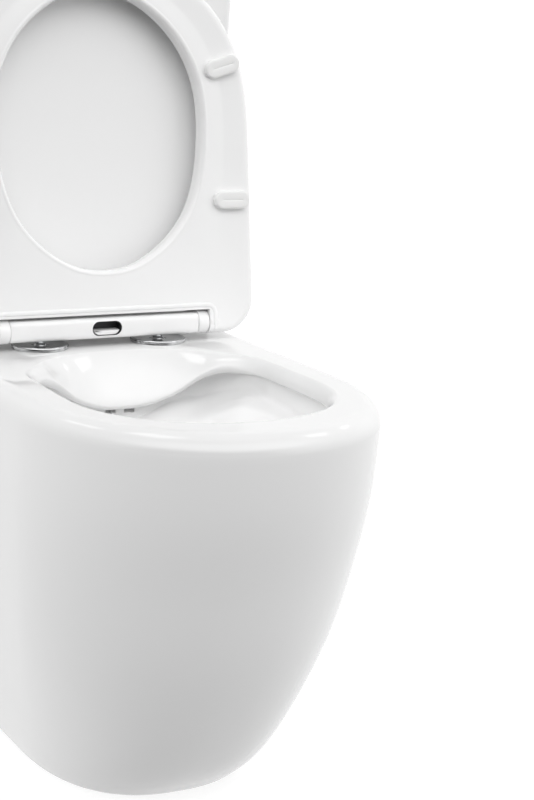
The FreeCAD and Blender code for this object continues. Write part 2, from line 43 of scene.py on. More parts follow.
# ------------------------------------------------------------------ dimensions (mm)
YH, ZH, ZD, YR = 94.5, 450.0, 429.0, 332.5
POST_Y = YH + 9.0
CIS_Y = 254.0
WALL, DECK_T, RIM_R = 11.0, 22.0, 20.0
RAISED = math.radians(-97.5)
PAN = [(0, 116.0, 227.3, 55.3, 2.495), (26.6, 124.9, 262.2, 76.0, 2.422),
       (63.7, 134.4, 297.7, 102.6, 2.33), (116.9, 147.9, 333.2, 135.7, 2.22),
       (191.2, 165.1, 370.5, 172.3, 2.109), (265.6, 176.4, 394.7, 197.5, 2.047),
       (340.0, 181.8, 416.6, 211.4, 2.034), (409.0, 182.2, 427.0, 214.0, 2.06)]


# ------------------------------------------------------------------ helpers
def spow(v, e):
    return np.sign(v) * np.abs(v) ** e


def cubic(xs, ys, x):
    xs, ys, x = np.asarray(xs, float), np.asarray(ys, float), np.asarray(x, float)
    n, h = len(xs), np.diff(xs)
    A, b = np.eye(n), np.zeros(n)
    for i in range(1, n - 1):
        A[i, i - 1], A[i, i], A[i, i + 1] = h[i - 1], 2 * (h[i - 1] + h[i]), h[i]
        b[i] = 6 * ((ys[i + 1] - ys[i]) / h[i] - (ys[i] - ys[i - 1]) / h[i - 1])
    m = np.linalg.solve(A, b)
    k = np.clip(np.searchsorted(xs, x, side="right") - 1, 0, n - 2)
    a, c = xs[k + 1] - x, x - xs[k]
    return ((m[k] * a ** 3 + m[k + 1] * c ** 3) / (6 * h[k]) + (ys[k] / h[k] - m[k] * h[k] / 6) * a
            + (ys[k + 1] / h[k] - m[k + 1] * h[k] / 6) * c)


def smooth(a, b, x):
    t = np.clip((np.asarray(x, float) - a) / (b - a), 0, 1)
    return t * t * (3 - 2 * t)


class Sym:
    """A quantity round a left-right symmetric loop, by the angle seen from the loop's centre."""

    def __init__(self, phi, val):
        o = np.argsort(phi)
        p, v = np.asarray(phi, float)[o], np.asarray(val, float)[o]
        h = math.pi / 2
        lo, hi = p > -h + 1e-6, p < h - 1e-6
        self.p = np.concatenate([(-math.pi - p[lo])[::-1], p, (math.pi - p[hi])[::-1]])
        self.v = np.concatenate([v[lo][::-1], v, v[hi][::-1]])

    def __call__(self, phi):
        return cubic(self.p, self.v, phi)


class Mesh:
    def __init__(self):
        self.v, self.f = [], []

    def ring(self, p):
        i = len(self.v)
        self.v.extend(np.asarray(p, float).tolist())
        return list(range(i, i + len(p)))

    def strip(self, a, b, closed=True, skip=()):
        n = len(a)
        for i in range(n if closed else n - 1):
            if i in skip:
                continue
            j = (i + 1) % n
            self.f.append((a[i], a[j], b[j], b[i]))

    def loft(self, rings, closed=True, skip=()):
        ids = [self.ring(r) for r in rings]
        for a, b in zip(ids, ids[1:]):
            self.strip(a, b, closed, skip)
        return ids

    def cap(self, a, centre=None):
        c = np.mean([self.v[i] for i in a], axis=0) if centre is None else np.asarray(centre, float)
        k = self.ring([c])[0]
        for i in range(len(a)):
            self.f.append((a[i], a[(i + 1) % len(a)], k))

    def add(self, other, fn=None):
        i = len(self.v)
        vs = other.v if fn is None else [fn(p) for p in other.v]
        self.v.extend([list(map(float, p)) for p in vs])
        self.f.extend([tuple(i + k for k in q) for q in other.f])

    def object(self, name, angle=40.0, weld=0.004):
        me = bpy.data.meshes.new(name)
        me.from_pydata([(x * 0.001, y * 0.001, z * 0.001) for x, y, z in self.v], [], self.f)
        bm = bmesh.new()
        bm.from_mesh(me)
        if weld:
            bmesh.ops.remove_doubles(bm, verts=bm.verts, dist=weld * 0.001)
        bmesh.ops.dissolve_degenerate(bm, dist=1e-7, edges=bm.edges)
        bmesh.ops.recalc_face_normals(bm, faces=bm.faces)
        bm.to_mesh(me)
        bm.free()
        ob = bpy.data.objects.new(name, me)
        bpy.context.scene.collection.objects.link(ob)
        shade(ob, angle)
        return ob


def shade(ob, angle=40.0):
    me = ob.data
    me.polygons.foreach_set("use_smooth", [True] * len(me.polygons))
    me.set_sharp_from_angle(angle=math.radians(angle))
    me.update()


def xyz(xy, z):
    xy = np.asarray(xy, float)
    return np.column_stack([xy, np.broadcast_to(np.asarray(z, float), (len(xy),))])


def cut(ob, tool, mode="DIFFERENCE", angle=40.0):
    m = ob.modifiers.new("cut", "BOOLEAN")
    m.operation, m.object, m.solver = mode, tool, "EXACT"
    dg = bpy.context.evaluated_depsgraph_get()
    me = bpy.data.meshes.new_from_object(ob.evaluated_get(dg))
    ob.modifiers.remove(m)
    old, ob.data = ob.data, me
    bpy.data.meshes.remove(old)
    bpy.data.objects.remove(tool, do_unlink=True)
    shade(ob, angle)


def join(name, obs):
    bm = bmesh.new()
    for o in obs:
        bm.from_mesh(o.data)
    me = bpy.data.meshes.new(name)
    bm.to_mesh(me)
    bm.free()
    for o in obs:
        d = o.data
        bpy.data.objects.remove(o, do_unlink=True)
        bpy.data.meshes.remove(d)
    ob = bpy.data.objects.new(name, me)
    bpy.context.scene.collection.objects.link(ob)
    return ob


def raised(p):
    """From the closed pose, drawn about the hinge axis, to the raised pose."""
    x, y, z = p
    c, s = math.cos(RAISED), math.sin(RAISED)
    return (x, YH + y * c - z * s, ZH + y * s + z * c)


def lathe(profile, n=72, closed=False):
    """Profile (radius, along) turned about Z."""
    m = Mesh()
    t = np.linspace(0, 2 * np.pi, n, endpoint=False)
    rings = [np.column_stack([r * np.cos(t), r * np.sin(t), np.full(n, z)]) for r, z in profile]
    ids = m.loft(rings)
    if closed:
        m.strip(ids[-1], ids[0])
    else:
        if profile[0][0] > 1e-6:
            m.cap(ids[0])
        if profile[-1][0] > 1e-6:
            m.cap(ids[-1])
    return m


def block(x0, x1, y0, y1, z0, z1, r=2.0):
    """Box with rounded edges."""
    m = Mesh()
    turn = [(r * (1 - math.cos(k / 4 * math.pi / 2)), r * (1 - math.sin(k / 4 * math.pi / 2))) for k in range(5)]
    rings = [(z0 + dz, i) for dz, i in turn] + [(z1 - dz, i) for dz, i in reversed(turn)]
    ids = m.loft([xyz(rrect((x0 + x1) / 2, (y0 + y1) / 2, x1 - x0 - 2 * i, y1 - y0 - 2 * i, max(r * 1.2 - i, 0.2)), z) for z, i in rings])
    m.cap(ids[0])
    m.cap(ids[-1])
    return m


def rrect(cx, cy, w, d, r, n=10):
    """Rounded rectangle, anticlockwise from the right side's lower corner."""
    pts = []
    for sx, sy, a0 in ((1, -1, -90), (1, 1, 0), (-1, 1, 90), (-1, -1, 180)):
        for k in range(n + 1):
            a = math.radians(a0 + 90 * k / n)
            pts.append((cx + sx * (w / 2 - r) + r * math.cos(a), cy + sy * (d / 2 - r) + r * math.sin(a)))
    return np.array(pts)


def stadium(l, w, n=16):
    """Closed outline of length l along X and width w."""
    r = w / 2
    a = l / 2 - r
    t = np.linspace(-np.pi / 2, np.pi / 2, n + 1)
    right = np.column_stack([a + r * np.cos(t), r * np.sin(t)])
    xs = np.linspace(a, -a, 10)[1:-1]
    top = np.column_stack([xs, np.full(len(xs), r)])
    left = np.column_stack([-a - r * np.cos(t), -r * np.sin(t)])
    bot = np.column_stack([-xs, np.full(len(xs), -r)])
    return np.vstack([right, top, left, bot])


# ------------------------------------------------------------------ materials
def noise(nt, tc, scale, detail=3.0, rough=0.5):
    n = nt.nodes.new("ShaderNodeTexNoise")
    n.inputs["Scale"].default_value = scale
    n.inputs["Detail"].default_value = detail
    n.inputs["Roughness"].default_value = rough
    nt.links.new(tc.outputs["Object"], n.inputs["Vector"])
    return n


def material(name, colour, rough, metal=0.0, ior=1.5, coat=0.0, coat_rough=0.04, tint=0.015, tint_scale=7.0,
             rvar=0.02, rscale=30.0, bump=0.0, bscale=90.0, bdist=0.0004, warm=0.0, spec=0.5):
    m = bpy.data.materials.new(name)
    m.use_nodes = True
    nt = m.node_tree
    nt.nodes.clear()
    out = nt.nodes.new("ShaderNodeOutputMaterial")
    b = nt.nodes.new("ShaderNodeBsdfPrincipled")
    nt.links.new(b.outputs[0], out.inputs[0])
    b.inputs["Metallic"].default_value = metal
    b.inputs["IOR"].default_value = ior
    b.inputs["Specular IOR Level"].default_value = spec
    b.inputs["Coat Weight"].default_value = coat
    b.inputs["Coat Roughness"].default_value = coat_rough
    tc = nt.nodes.new("ShaderNodeTexCoord")
    n1 = noise(nt, tc, tint_scale)
    ramp = nt.nodes.new("ShaderNodeValToRGB")
    lo = [max(0.0, c * (1 - tint)) for c in colour]
    hi = [min(1.0, c * (1 + tint)) for c in colour]
    lo[2] *= 1 - warm
    ramp.color_ramp.elements[0].position, ramp.color_ramp.elements[0].color = 0.3, (*lo, 1)
    ramp.color_ramp.elements[1].position, ramp.color_ramp.elements[1].color = 0.7, (*hi, 1)
    nt.links.new(n1.outputs["Fac"], ramp.inputs["Fac"])
    nt.links.new(ramp.outputs["Color"], b.inputs["Base Color"])
    n2 = noise(nt, tc, rscale, 2.0)
    mr = nt.nodes.new("ShaderNodeMapRange")
    mr.inputs["From Min"].default_value, mr.inputs["From Max"].default_value = 0.3, 0.7
    mr.inputs["To Min"].default_value, mr.inputs["To Max"].default_value = max(rough - rvar, 0.01), rough + rvar
    nt.links.new(n2.outputs["Fac"], mr.inputs["Value"])
    nt.links.new(mr.outputs["Result"], b.inputs["Roughness"])
    if bump:
        n3 = noise(nt, tc, bscale, 2.0)
        bp = nt.nodes.new("ShaderNodeBump")
        bp.inputs["Strength"].default_value = bump
        bp.inputs["Distance"].default_value = bdist
        nt.links.new(n3.outputs["Fac"], bp.inputs["Height"])
        nt.links.new(bp.outputs["Normal"], b.inputs["Normal"])
    return m


GLAZE = material("glazed_china", (0.83, 0.83, 0.83), 0.07, ior=1.52, coat=0.08, coat_rough=0.03, tint=0.006,
                 tint_scale=5.0, rvar=0.02, rscale=22.0, bump=0.05, bscale=34.0, bdist=0.0006)
SEAT = material("seat_plastic", (0.9, 0.9, 0.9), 0.16, ior=1.53, tint=0.005, tint_scale=6.0, rvar=0.03, rscale=45.0,
                bump=0.04, bscale=140.0, bdist=0.0003)
BUMPER = material("bumper_plastic", (0.85, 0.85, 0.845), 0.36, ior=1.47, tint=0.012, tint_scale=60.0, rvar=0.05,
                  rscale=160.0, bump=0.12, bscale=900.0, bdist=0.00015)
CHROME = material("chrome", (0.52, 0.525, 0.53), 0.06, metal=1.0, tint=0.02, tint_scale=30.0, rvar=0.03, rscale=120.0,
                  bump=0.03, bscale=500.0, bdist=0.0001)
STEEL = material("zinc_steel", (0.56, 0.57, 0.58), 0.32, metal=1.0, tint=0.10, tint_scale=90.0, rvar=0.08, rscale=150.0,
                 bump=0.15, bscale=700.0, bdist=0.0002)
RUBBER = material("black_rubber", (0.025, 0.025, 0.026), 0.62, tint=0.18, tint_scale=120.0, rvar=0.06, rscale=200.0,
                  bump=0.25, bscale=900.0, bdist=0.0002)
FITTING = material("fitting_plastic", (0.72, 0.73, 0.71), 0.38, ior=1.48, tint=0.03, tint_scale=40.0, rvar=0.06,
                   rscale=120.0, bump=0.12, bscale=600.0, bdist=0.0002, warm=0.02)
DARK = material("dark_plastic", (0.022, 0.023, 0.025), 0.45, tint=0.15, tint_scale=80.0, rvar=0.06, rscale=150.0,
                bump=0.15, bscale=700.0, bdist=0.0002)


def piece(ob, body, nodes, mat):
    ob.data.materials.clear()
    ob.data.materials.append(mat)
    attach(ob, body)
    if nodes:
        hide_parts(*nodes)
    return ob


# ------------------------------------------------------------------ pan
NF, NS, NR = 144, 60, 48
M = NF + 2 * NS + NR
REAR = set(range(NF + NS, NF + NS + NR))          # ring edges that lie in the wall plane
PZ = np.array(PAN)


def pan_table(z):
    return [float(cubic(PZ[:, 0], PZ[:, k], z)) for k in (1, 2, 3, 4)]


def plan(w, l, yc, n):
    t = np.linspace(0, np.pi, NF + 1)
    c, s = np.cos(t), np.sin(t)
    c[NF // 2], s[0], s[-1] = 0.0, 0.0, 0.0
    front = np.column_stack([w * spow(c, 2 / n), YH - yc - (l - yc) * spow(s, 2 / n)])
    ys = np.linspace(YH - yc, YR, NS + 1)
    left = np.column_stack([np.full(NS, -w), ys[1:]])
    rear = np.column_stack([np.linspace(-w, w, NR + 1)[1:], np.full(NR, YR)])
    right = np.column_stack([np.full(NS - 1, w), ys[::-1][1:-1]])
    return np.vstack([front, left, rear, right])


def skirt(z, inset=0.0, zt=None):
    w, l, yc, n = pan_table(z if zt is None else zt)
    return xyz(plan(w - inset, l - inset, yc, n), z)


pan = Mesh()
outer = [skirt(0.0, 2.4), skirt(0.7, 1.0), skirt(2.4, 0.0)]
outer += [skirt(z) for z in np.linspace(6, 409, 60)]
for k in range(1, 15):
    a = k / 14 * math.pi / 2
    outer.append(skirt(409 + RIM_R * math.sin(a), RIM_R * (1 - math.cos(a)), 409))
edge = outer[-1]

# the opening, by the angle seen from a point in the bowl
YB = YH - 215.0
phi = np.arctan2(edge[:, 1] - YB, edge[:, 0])
pe = np.arctan2(edge[:, 1] - YB, np.abs(edge[:, 0]))
cph, sph = np.cos(phi), np.sin(phi)


def polar(pts):
    p = np.asarray(pts, float)
    dy = p[:, 1] + 215.0
    return np.arctan2(dy, p[:, 0]), np.hypot(p[:, 0], dy)


def nose(a, cy, b, n):
    t = np.linspace(0, np.pi / 2, 15)
    c, s = np.cos(t), np.sin(t)
    c[-1] = 0.0
    return [(a * ci ** (2 / n), cy - b * si ** (2 / n)) for ci, si in zip(c, s)]


# the opening's innermost face, half, from the rear middle; at the rear an apron hangs over the flush outlets
#       x      y      depth of the lower edge, run of the slope above it, radius of the lower edge
FACE = [(0, -62.5, 58.7, 34.0, 5.0), (12, -62.8, 58.5, 34.0, 5.0), (25, -63.6, 57.1, 33.5, 5.0), (37, -65.2, 54.0, 32.5, 5.0),
        (49, -67.6, 49.4, 31.0, 5.0), (60, -70.6, 43.6, 29.0, 5.2), (70, -74.2, 36.5, 26.5, 5.8), (80, -78.2, 29.2, 23.5, 6.6),
        (88, -82.0, 25.2, 20.0, 7.4), (97, -87.0, 21.8, 16.5, 8.0), (105, -92.5, 20.0, 14.0, 7.6), (112, -98.5, 19.3, 12.6, 6.6),
        (118, -105.5, 18.7, 11.8, 5.2), (123, -114.5, 18.0, 11.4, 4.0), (126.2, -125.5, 17.5, 11.2, 3.2),
        (127.5, -140, 17.4, 11.0, 3.0), (127.5, -165, 17.4, 11.0, 3.0), (127.5, -200, 17.4, 11.0, 3.0)]
FACE += [(x, y, 17.4, 11.0, 3.0) for x, y in nose(127.5, -230, 131, 2.15)]
face = np.array(FACE, float)
lp, lr = polar(face[:, :2])
rho_f = Sym(lp, lr)(pe)
k_b, r_l = Sym(lp, face[:, 2])(pe), np.maximum(Sym(lp, face[:, 4])(pe), 2.8)
run, k_e = Sym(lp, face[:, 3])(pe), k_b - r_l
form = 2.0 / (1.62 - 0.42 * smooth(19.0, 27.0, k_b))     # from a quarter circle at the sides to a slope at the rear
# the recess below the rim and the depth of its wall
REC = [(0, -50, 73), (12, -50, 72), (25, -50, 69.5), (37, -49.8, 65.5), (49, -49.5, 60.5), (60, -49.3, 56), (70, -49.3, 53.6),
       (80, -50.4, 52.3), (90, -53, 51.1), (99, -58.3, 49.3), (107, -65.6, 45.4), (114, -75, 41.1), (120, -86, 36.6),
       (125, -99, 32.6), (128.5, -113, 30.8), (130.6, -127, 31.6), (131.2, -140, 33.2), (131.2, -165, 35.2), (131.2, -200, 38.2)]
REC += [(x, y, 39.5) for x, y in nose(131.2, -230, 134.8, 2.15)]
rec = np.array(REC, float)
rp, rr = polar(rec[:, :2])
rho_r, k_w = Sym(rp, rr)(pe), Sym(rp, rec[:, 2])(pe)
rear_w = smooth(math.radians(36), math.radians(64), pe)


def inner(rho, z):
    return np.column_stack([rho * cph, YB + rho * sph, np.broadcast_to(np.asarray(z, float), rho.shape)])


start = inner(rho_f + run, ZD)
top = [edge + (start - edge) * s for s in np.linspace(0, 1, 9)[1:]]
for q in np.linspace(0, 1, 25)[1:-1]:
    th = math.pi / 2 * q
    top.append(inner(rho_f + run * (1 - math.sin(th) ** form), ZD - k_e * (1 - math.cos(th) ** form)))
for q in np.linspace(0, 1, 15):
    th = math.pi * (1 + q / 2)
    top.append(inner(rho_f + r_l + r_l * math.cos(th), ZD - k_b + r_l + r_l * math.sin(th)))
for s in (0.5, 1.0):
    top.append(inner(rho_f + r_l + (rho_r - 0.6 - rho_f - r_l) * s, ZD - k_b + 0.3 * s))
wall_k = []
for s in np.linspace(0, 1, 13):
    top.append(inner(rho_r, ZD - k_b - 0.4 - (k_w - k_b - 0.4) * s))
    wall_k.append(len(top) - 1)
# ledge below the rim, then the bowl
BOWL = np.array([(50, 113.0, -350, -76, 2.6), (60, 106, -343, -82, 2.5), (115, 94, -320, -99, 2.3),
                 (190, 75, -279, -106, 2.15), (250, 56, -238, -108, 2.05), (285, 46, -214, -112, 2.0)])


def bowl_ring(k, grow=0.0):
    a, yf, yb, n = [float(cubic(BOWL[:, 0], BOWL[:, i], k)) for i in (1, 2, 3, 4)]
    a, b, cy = a + grow, (yb - yf) / 2 + grow, YH + (yf + yb) / 2
    r = (np.abs(cph / a) ** n + np.abs(sph / b) ** n) ** (-1 / n)
    drop = 24.0 * rear_w * (1 - smooth(50, 150, k))
    return np.column_stack([r * cph, cy + r * sph, ZD - k - drop])


foot, b0, b1 = top[-1], bowl_ring(50), bowl_ring(54)
chord = np.linalg.norm(b0 - foot, axis=1)[:, None]
t0 = np.array([0, 0, -1.0]) * chord * (1.0 - 0.8 * smooth(math.radians(44), math.radians(60), pe))[:, None]
t1 = (b1 - b0) / np.linalg.norm(b1 - b0, axis=1)[:, None] * chord * 0.7
for q in np.linspace(0, 1, 11)[1:-1]:
    top.append((2 * q ** 3 - 3 * q * q + 1) * foot + (q ** 3 - 2 * q * q + q) * t0 + (3 * q * q - 2 * q ** 3) * b0 + (q ** 3 - q * q) * t1)
for k in (50, 56, 63, 72, 84, 98, 115, 135, 155, 175, 195, 215, 235, 255, 270, 285):
    top.append(bowl_ring(k))
# bend into the trap
cy0, z0, Rb = YH - 163.0, ZD - 285.0, 54.0
for tau in np.radians(np.arange(8, 148, 10)):
    f = min(1.0, tau / math.radians(90))
    a, b = 46 + (34 - 46) * f, 51 + (34 - 51) * f
    cy, cz = cy0 + Rb * (1 - math.cos(tau)), z0 - Rb * math.sin(tau)
    top.append(np.column_stack([a * cph, cy + b * sph * math.cos(tau), cz + b * sph * math.sin(tau)]))
last = top[-1]
for s in (30, 60, 95):
    top.append(last + np.array([0, 0.545, 0.839]) * s)

ids = pan.loft(outer, skip=REAR)
idt = [ids[-1]]
# flush outlets under the apron: two openings in the recess wall, each with a short tunnel
slot_faces = []
for t_i, r in enumerate(top):
    idt.append(pan.ring(r))
for n_i, (a, b) in enumerate(zip(idt, idt[1:])):
    hole = set()
    row = n_i                                      # b is top[n_i]
    if row - 1 in wall_k and row in wall_k:
        for i in range(M):
            p, q = top[row][i], top[row][(i + 1) % M]
            x, y = (p[0] + q[0]) / 2, (p[1] + q[1]) / 2
            kk = ZD - (top[row - 1][i][2] + p[2]) / 2
            if y > YH - 75 and 6.0 < abs(x) < 17.5 and 59.6 < kk < 65.0:
                hole.add(i)
                slot_faces.append((a[i], a[(i + 1) % M], b[(i + 1) % M], b[i]))
    pan.strip(a, b, True, hole)
pan.cap(idt[-1])
# tunnels behind the flush outlets
edges = {}
for q in slot_faces:
    for u, w in zip(q, q[1:] + q[:1]):
        edges[(u, w)] = edges.get((u, w), 0) + 1
rim_edges = [e for e in edges if (e[1], e[0]) not in edges]
back = {}
for e in rim_edges:
    for u in e:
        if u not in back:
            p = pan.v[u]
            back[u] = pan.ring([(p[0], p[1] + 22.0, p[2] + 8.0)])[0]
for u, w in rim_edges:
    pan.f.append((u, w, back[w], back[u]))
for q in slot_faces:
    for u in q:
        if u not in back:
            p = pan.v[u]
            back[u] = pan.ring([(p[0], p[1] + 22.0, p[2] + 8.0)])[0]
    pan.f.append(tuple(back[u] for u in q))

# inside of the skirt, underside of the deck, outside of the bowl
zi = np.linspace(0, ZD - DECK_T, 24)
inside = [skirt(z, WALL) for z in zi]
idi = pan.loft(inside, skip=REAR)
pan.strip(ids[0], idi[0], skip=REAR)
shell = [inner(rho_r + WALL, ZD - k_w * f - 6) for f in (0.7, 1.0)]
shell += [bowl_ring(k, WALL) for k in (84, 115, 155, 195, 235, 270, 285)]
c0, c1 = inside[-1], inner(rho_r + WALL, ZD - DECK_T)
under = [c0 + (c1 - c0) * s for s in np.linspace(0, 1, 5)]
idu = pan.loft(under + shell)
end = [np.column_stack([(57 - 14 * f) * cph, cy0 + (62 - 19 * f) * sph, np.full(M, z0 - 70 * f)]) for f in (0.3, 0.6, 0.85, 1.0)]
idx = pan.loft(end)
pan.strip(idu[-1], idx[0])
pan.cap(idx[-1])
# rear ends of the walls and of the deck
oc = [r[NF + NS] for r in outer]
ocr = [r[NF + NS + NR] for r in outer]
ic = [r[NF + NS] for r in inside]
icr = [r[NF + NS + NR] for r in inside]


def resample(p, n):
    p = np.asarray(p, float)
    d = np.concatenate([[0], np.cumsum(np.linalg.norm(np.diff(p, axis=0), axis=1))])
    s = np.linspace(0, d[-1], n)
    return np.column_stack([np.interp(s, d, p[:, k]) for k in range(3)])


for o, i in ((oc, ic), (ocr, icr)):
    a, b = pan.ring(o), pan.ring(resample(i, len(o)))
    pan.strip(a, b, closed=False)
rear_top = edge[NF + NS:NF + NS + NR + 1]
rear_low = inside[-1][NF + NS:NF + NS + NR + 1]
a, b = pan.ring(rear_top), pan.ring(rear_low)
pan.strip(a, b, closed=False)


# trap, outlet and flush duct seen from behind
def sweep(path, radius, n=48):
    p = np.asarray(path, float)
    s = np.concatenate([[0], np.cumsum(np.linalg.norm(np.diff(p, axis=0), axis=1))])
    q = np.linspace(0, s[-1], 44)
    yy, zz = cubic(s, p[:, 0], q), cubic(s, p[:, 1], q)
    ty, tz = np.gradient(yy), np.gradient(zz)
    ln = np.hypot(ty, tz)
    ny, nz = -tz / ln, ty / ln
    t = np.linspace(0, 2 * np.pi, n, endpoint=False)
    return [np.column_stack([radius * np.cos(t), yy[k] + radius * np.sin(t) * ny[k], zz[k] + radius * np.sin(t) * nz[k]]) for k in range(len(q))]


tr = Mesh()
ti = tr.loft(sweep([(YH - 150, 120), (YH - 108, 94), (YH - 66, 128), (YH - 20, 196), (YH + 22, 240), (YH + 58, 226), (YH + 90, 195), (YH + 126, 185), (YH + 142, 185)], 43.0))
tr.cap(ti[0])
tr.cap(ti[-1])
pan.add(tr)
sp = lathe([(43, 118), (49, 118.6), (51, 121), (51, 203), (50.2, 205), (48.5, 205.5), (43.5, 205.5), (41.6, 204.6), (41, 203), (41, 132)], 72)
pan.add(sp, lambda p: (p[0], YH + p[2], 185.0 + p[1]))
pan.add(block(-54, 54, YH - 42, YH + 214, ZD - 79, ZD - DECK_T + 4, 8.0))

# glaze painted lighter inside the bowl: painted light that stands in for the light reaching down into the bowl
PAN_GLAZE_PAINTED_LIGHT = GLAZE.copy()
PAN_GLAZE_PAINTED_LIGHT.name = "glazed_china_pan_painted_light"
gn = PAN_GLAZE_PAINTED_LIGHT.node_tree
gb = [n for n in gn.nodes if n.type == "BSDF_PRINCIPLED"][0]
ga = gn.nodes.new("ShaderNodeAttribute")
ga.attribute_name = "painted_bowl_light"
gm = gn.nodes.new("ShaderNodeMix")
gm.data_type = "RGBA"
gm.inputs[7].default_value = (0.95, 0.95, 0.95, 1.0)
gn.links.new(ga.outputs["Fac"], gm.inputs[0])
gn.links.new(gb.inputs["Base Color"].links[0].from_socket, gm.inputs[6])
gn.links.new(gm.outputs[2], gb.inputs["Base Color"])
pan_ob = pan.object("pan_china", 45)
co = np.array([tuple(v.co) for v in pan_ob.data.vertices]) * 1000.0
# mask of the painted light in the bowl: inside the bowl's plan, below the rim, above the trap and clear of the rear
plan = (np.abs(co[:, 0]) / 146.0) ** 2.4 + (np.abs(co[:, 1] - YH + 222.0) / 172.0) ** 2.4
painted_bowl_light = (1 - smooth(0.90, 1.0, plan)) * (1 - smooth(ZD - 34.0, ZD - 14.0, co[:, 2])) * smooth(ZD - 160.0, ZD - 130.0, co[:, 2]) * (1 - smooth(-112.0, -78.0, co[:, 1] - YH))
pan_ob.data.attributes.new("painted_bowl_light", "FLOAT", "POINT").data.foreach_set("value", painted_bowl_light.astype(float).tolist())
piece(pan_ob, "base", ["pan_skirt", "pan_rim", "pan_deck", "pan_bowl", "pan_trap", "pan_flush_duct", "pan_flush_outlet_wall"], PAN_GLAZE_PAINTED_LIGHT)


# ------------------------------------------------------------------ seat
HC = 200.0                                         # centre of the seat's polar mesh, from the hinge axis
NP = 360
psi = np.linspace(0, 2 * np.pi, NP, endpoint=False)
ps_eff = np.arctan2(np.sin(psi), np.abs(np.cos(psi)))
cps, sps = np.cos(psi), np.sin(psi)


def seat_outline(grow=0.0, r=38.0):
    W, L = 180.2 + grow, 414.0 + grow
    half = [(W, 100), (W, 145), (W, 189), (W - 1.4, 234), (W - 4.2, 261), (W - 9.4, 285), (W - 15.9, 304), (W - 24.0, 321),
            (W - 36.0, 339), (W - 52, 356.5 + grow), (W - 78, 378 + grow), (W - 112, 398 + grow), (W - 147, 410.5 + grow), (0, L)]
    p = np.array(half + [(-x, h) for x, h in reversed(half[:-1])], float)
    d = np.concatenate([[0], np.cumsum(np.hypot(*np.diff(p, axis=0).T))])
    q = np.linspace(d[2], d[len(half) - 1], 500)
    pts = list(zip(cubic(d, p[:, 0], q), cubic(d, p[:, 1], q)))
    hb = -13.0
    pre = [(x, hb) for x in np.linspace(0, W - r, 160)[:-1]]
    pre += [(W - r + r * math.cos(a), hb + r + r * math.sin(a)) for a in np.linspace(-math.pi / 2, 0, 120)]
    pre += [(W, h) for h in np.linspace(hb + r, 189, 160)[1:-1]]
    p = np.array(pre + pts, float)
    a, rr_ = np.arctan2(p[:, 1] - HC, p[:, 0]), np.hypot(p[:, 0], p[:, 1] - HC)
    return np.interp(ps_eff, a, rr_)


HOLE = [(0, 65), (28, 68.5), (53, 80), (78, 100), (97, 125), (109, 157), (115, 195), (116, 228), (112.5, 258),
        (103.5, 284), (88, 309), (66, 331), (36, 349), (0, 356)]
hp = np.array(HOLE, float)
rho_hole = Sym(np.arctan2(hp[:, 1] - HC, hp[:, 0]), np.hypot(hp[:, 0], hp[:, 1] - HC))(ps_eff)
rho_out = seat_outline()


def flat(rho, t):
    """Points in the closed pose: X across, front towards -Y, t up from the hinge axis."""
    return np.column_stack([rho * cps, -(HC + rho * sps), np.broadcast_to(np.asarray(t, float), rho.shape)])


crown_w = 0.5 + 0.5 * smooth(30, 110, HC + 0.5 * (rho_hole + rho_out) * sps)
rings = []
RISE = 2.4                                         # the underside rises towards the hole, with a fine ridge round it
for d, t in ((3.4, 1.0), (3.4, -1.5), (3.4, -6.0), (3.5, -8.6), (3.8, -10.2), (4.4, -11.5), (5.3, -12.5), (6.2, -13.05), (7.0, -13.35),
             (7.7, -13.45), (8.4, -13.45), (9.0, -13.25), (9.6, -13.05), (10.4, -12.98)):
    rings.append(flat(rho_hole + d, t - RISE * crown_w * min(1.0, max(0.0, -t) / 13.0)))
for f in np.linspace(0, 1, 27)[1:-1]:
    rho = (rho_hole + 10.4) * (1 - f) + (rho_out - 10) * f
    rings.append(flat(rho, -13.0 - RISE * crown_w * (1 - smooth(0.0, 0.52, f) * 0.35 - 0.65 * min(1.0, f / 0.46))))
for d, t in ((10, -13.0), (8, -12.85), (6, -12.4), (4.2, -11.6), (2.7, -10.4), (1.5, -8.9), (0.6, -7.1), (0.15, -5.2), (0, -3.2), (0, 0.0),
             (0.3, 1.8), (1.2, 3.6), (2.6, 4.9), (4.6, 5.7), (7, 6.0)):
    rings.append(flat(rho_out - d, t))
for f in np.linspace(0, 1, 8)[1:-1]:
    rings.append(flat((rho_out - 7) * (1 - f) + (rho_hole + 9.4) * f, 6.0))
for d, t in ((9.4, 6.0), (7.4, 5.7), (5.6, 4.9), (4.3, 3.7), (3.6, 2.3)):
    rings.append(flat(rho_hole + d, t))
seat = Mesh()
ids = seat.loft([np.array([raised(p) for p in r]) for r in rings])
seat.strip(ids[-1], ids[0])
seat = seat.object("seat_ring_shape", 35)


def tool_block(x0, x1, h0, h1, t0, t1):
    m = Mesh()
    p = [(x, -h, t) for t in (t0, t1) for x, h in ((x0, h0), (x1, h0), (x1, h1), (x0, h1))]
    i = m.ring([raised(q) for q in p])
    m.f += [(i[0], i[1], i[2], i[3]), (i[7], i[6], i[5], i[4])] + [(i[k], i[k + 4], i[(k + 1) % 4 + 4], i[(k + 1) % 4]) for k in range(4)]
    return m.object("tool", 30, 0)


cut(seat, tool_block(-124.2, 124.2, -40, 14, -40, 40), angle=35)


def turned_x(profile, n=64):
    """Profile (radius, x) turned about the hinge axis."""
    return lathe(profile, n)


def on_axis(p):
    return (p[2], YH + p[0], ZH + p[1])


